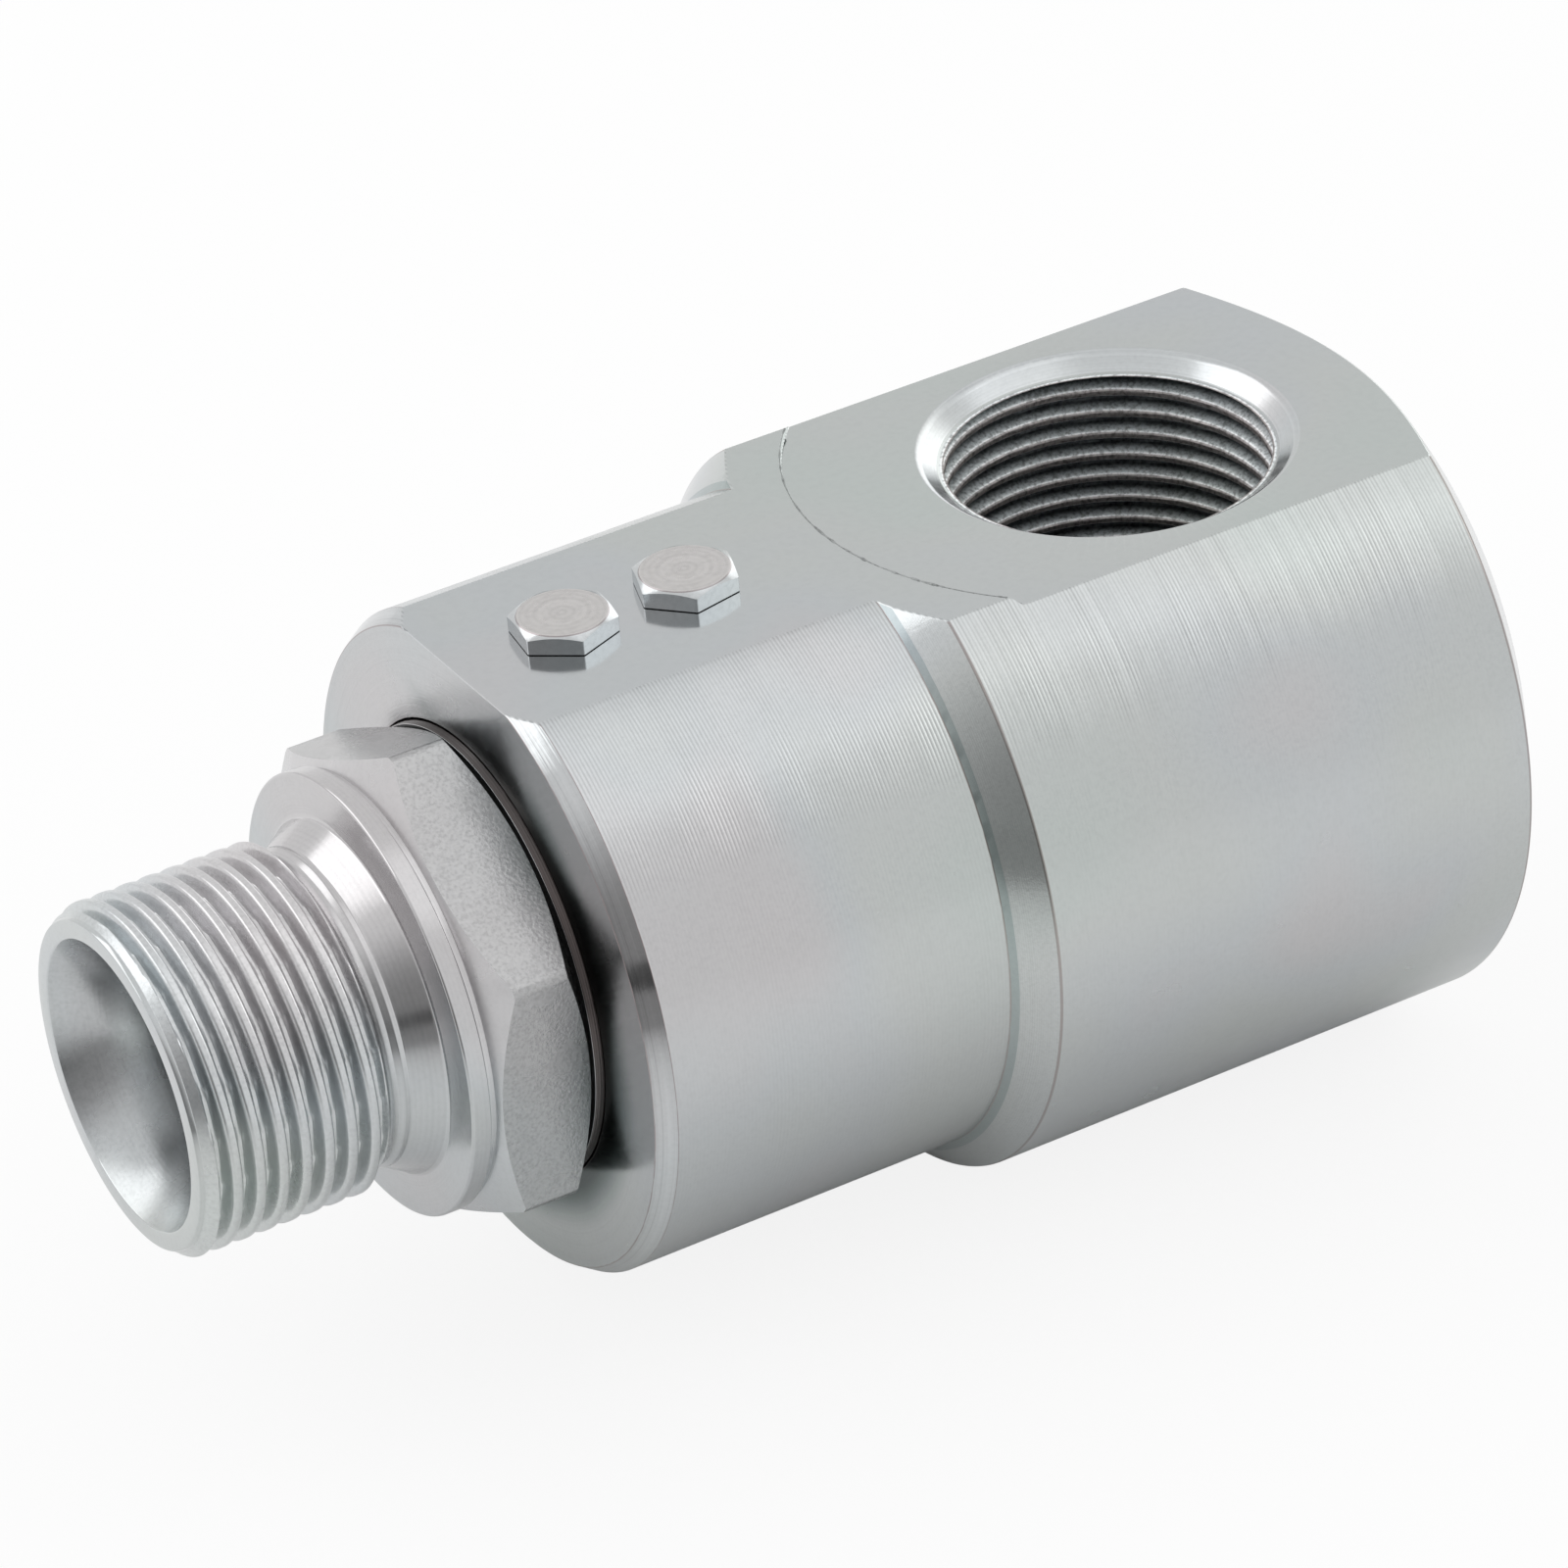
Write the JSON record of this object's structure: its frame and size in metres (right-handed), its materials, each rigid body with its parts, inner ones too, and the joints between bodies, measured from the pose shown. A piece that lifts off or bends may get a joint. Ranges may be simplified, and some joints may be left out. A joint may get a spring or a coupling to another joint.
{
  "type": "hydraulic swivel joint",
  "caption": "Right-angle hydraulic swivel joint: round steel body with a threaded side port and a spindle with a pipe thread and hexagon that turns on ball races.",
  "frame": {"origin": "centre of the closed rear face, on the swivel axis", "axes": "+X along the swivel axis out of the closed rear face, so the spindle points to -X; +Z along the side port's axis out of its mouth"},
  "size_m": [0.1048, 0.056, 0.0527],
  "materials": {
    "body_zinc": "bright zinc plate over turned and milled steel",
    "spindle_zinc": "bright zinc plate over turned steel, grainy hexagon",
    "screw_zinc": "bright zinc plate",
    "ball_steel": "polished bearing steel",
    "plug_steel": "ground steel",
    "seal_rubber": "matt black nitrile",
    "guide_resin": "brown fabric-filled resin",
    "bearing_bronze": "turned bronze",
    "seal_ptfe": "filled PTFE, grey-green",
    "backup_ptfe": "off-white PTFE"
  },
  "bodies": {
    "housing": {"housing": "body_zinc", "filler_screw_front": "screw_zinc", "filler_screw_rear": "screw_zinc", "race_plug_front": "plug_steel", "race_plug_rear": "plug_steel"},
    "spindle": {"spindle": "spindle_zinc", "dust_seal_ring": "seal_rubber", "guide_ring_front": "guide_resin", "grease_seal_ring": "seal_rubber", "thrust_washer": "bearing_bronze", "guide_ring_rear": "guide_resin", "backup_ring_front": "backup_ptfe", "pressure_seal": "seal_ptfe", "energizer_ring": "seal_rubber", "backup_ring_rear": "backup_ptfe"},
    "balls_front": {"balls_front": "ball_steel"},
    "balls_rear": {"balls_rear": "ball_steel"}
  },
  "joints": [
    {"name": "spindle_spin", "type": "hinge", "parent": "housing", "child": "spindle", "pos_m": [-0.0613, 0, 0], "axis": [1, 0, 0], "continuous": true},
    {"name": "balls_front_spin", "type": "hinge", "parent": "housing", "child": "balls_front", "pos_m": [-0.0663, 0, 0], "axis": [1, 0, 0], "continuous": true},
    {"name": "balls_rear_spin", "type": "hinge", "parent": "housing", "child": "balls_rear", "pos_m": [-0.0563, 0, 0], "axis": [1, 0, 0], "continuous": true}
  ],
  "couplings": [
    {"joint": "balls_front_spin", "follows": "spindle_spin", "ratio": 0.4343},
    {"joint": "balls_rear_spin", "follows": "spindle_spin", "ratio": 0.4343}
  ]
}
